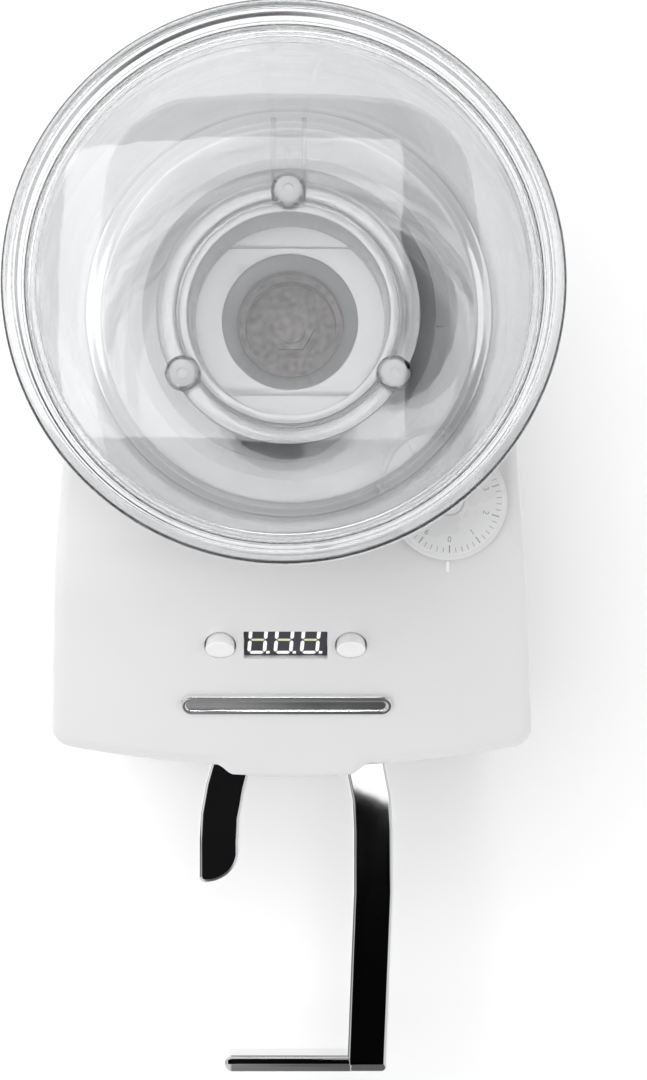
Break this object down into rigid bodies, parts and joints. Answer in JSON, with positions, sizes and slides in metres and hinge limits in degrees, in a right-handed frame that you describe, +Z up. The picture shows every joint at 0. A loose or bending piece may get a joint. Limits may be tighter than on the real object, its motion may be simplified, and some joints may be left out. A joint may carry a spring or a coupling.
{
  "type": "espresso coffee grinder",
  "caption": "On-demand espresso coffee grinder with a clear bean hopper, flat burrs, grind dial, timer display, push buttons and a portafilter fork.",
  "frame": {"origin": "bottom centre of the whole machine's box, on the surface under the feet", "axes": "+Z up, -Y towards the user (the fork reaches along -Y), +X to the user's right, where the grind dial is"},
  "size_m": [0.144, 0.322, 0.328],
  "materials": {
    "white_paint": "gloss powder coat",
    "white_plastic": "gloss moulded",
    "chrome": "polished",
    "steel": "satin",
    "aluminium": "satin",
    "brass": "machined",
    "copper_wire": "enamelled wire",
    "black_plastic": "fine texture",
    "grey_plastic": "moulded",
    "rubber": "matt",
    "clear_plastic": "clear, smoked grey",
    "display_lens": "smoked",
    "circuit_board": "solder mask"
  },
  "bodies": {
    "root": {"base_casting": "white_paint", "bottom_plate": "steel", "base_screws": "steel", "feet": "rubber", "base_mat": "rubber", "tower_housing": "white_paint", "head_frame": "white_paint", "frame_bolts": "steel", "top_cowl": "white_paint", "cowl_screws": "steel", "vent_grille": "black_plastic", "portafilter_fork": "chrome", "fork_screws": "steel", "start_switch": "black_plastic", "grinding_chamber": "aluminium", "dial_bush": "brass", "stator_core": "steel", "motor_windings": "copper_wire", "motor_upper_flange": "aluminium", "motor_lower_flange": "aluminium", "upper_bearing": "steel", "lower_bearing": "steel", "motor_bolts": "steel", "run_capacitor": "grey_plastic", "power_board": "circuit_board", "chute": "black_plastic", "spout": "white_plastic", "deck_collar": "aluminium", "collar_screws": "steel", "hopper_gasket": "rubber", "hopper": "clear_plastic", "hopper_clamp_ring": "grey_plastic", "hopper_screws": "chrome", "throat_collar": "grey_plastic", "control_board": "circuit_board", "display_module": "black_plastic", "display_window": "display_lens", "front_badge": "chrome", "power_inlet": "black_plastic", "switch_housing": "black_plastic"},
    "lid": {"hopper_lid": "clear_plastic"},
    "adjuster": {"adjusting_ring": "brass"},
    "dial": {"grind_dial": "white_plastic", "dial_cap": "aluminium", "dial_pinion": "steel"},
    "upper_burr_set": {"upper_burr_carrier": "aluminium", "upper_burr": "steel", "upper_burr_screws": "steel"},
    "rotor": {"motor_shaft": "steel", "rotor_core": "steel", "cooling_fan": "black_plastic", "lower_burr_carrier": "aluminium", "lower_burr": "steel", "lower_burr_screws": "steel", "arbor_nut": "steel"},
    "left_button": {"button_left": "white_plastic"},
    "right_button": {"button_right": "white_plastic"},
    "start_plunger": {"start_button": "black_plastic"},
    "rocker": {"power_rocker": "black_plastic"}
  },
  "joints": [
    {"name": "lid_lift", "type": "slide", "parent": "root", "child": "lid", "axis": [0, 0, 1], "range_m": [0, 0.12]},
    {"name": "ring_turn", "type": "hinge", "parent": "root", "child": "adjuster", "pos_m": [0, 0.076, 0.208], "axis": [0, 0, 1], "range_deg": [-40, 40]},
    {"name": "dial_turn", "type": "hinge", "parent": "root", "child": "dial", "pos_m": [0.0444, 0.02582, 0.21], "axis": [0, 0, 1], "range_deg": [-167, 167]},
    {"name": "burr_lift", "type": "slide", "parent": "root", "child": "upper_burr_set", "axis": [0, 0, 1], "range_m": [-0.0002, 0.0002]},
    {"name": "rotor_spin", "type": "hinge", "parent": "root", "child": "rotor", "pos_m": [0, 0.076, 0.1], "axis": [0, 0, 1], "continuous": true},
    {"name": "left_press", "type": "slide", "parent": "root", "child": "left_button", "axis": [0, 0.5299, -0.848], "range_m": [0, 0.0012], "stiffness_N_per_m": 600},
    {"name": "right_press", "type": "slide", "parent": "root", "child": "right_button", "axis": [0, 0.5299, -0.848], "range_m": [0, 0.0012], "stiffness_N_per_m": 600},
    {"name": "start_press", "type": "slide", "parent": "root", "child": "start_plunger", "axis": [0, 1, 0], "range_m": [0, 0.003], "stiffness_N_per_m": 500},
    {"name": "rocker_tilt", "type": "hinge", "parent": "root", "child": "rocker", "pos_m": [0.017, 0.148, 0.049], "axis": [1, 0, 0], "range_deg": [0, 24]}
  ],
  "couplings": [
    {"joint": "dial_turn", "follows": "ring_turn", "ratio": -4.1538},
    {"joint": "burr_lift", "follows": "ring_turn", "m_per_rad": 0.00023873}
  ]
}
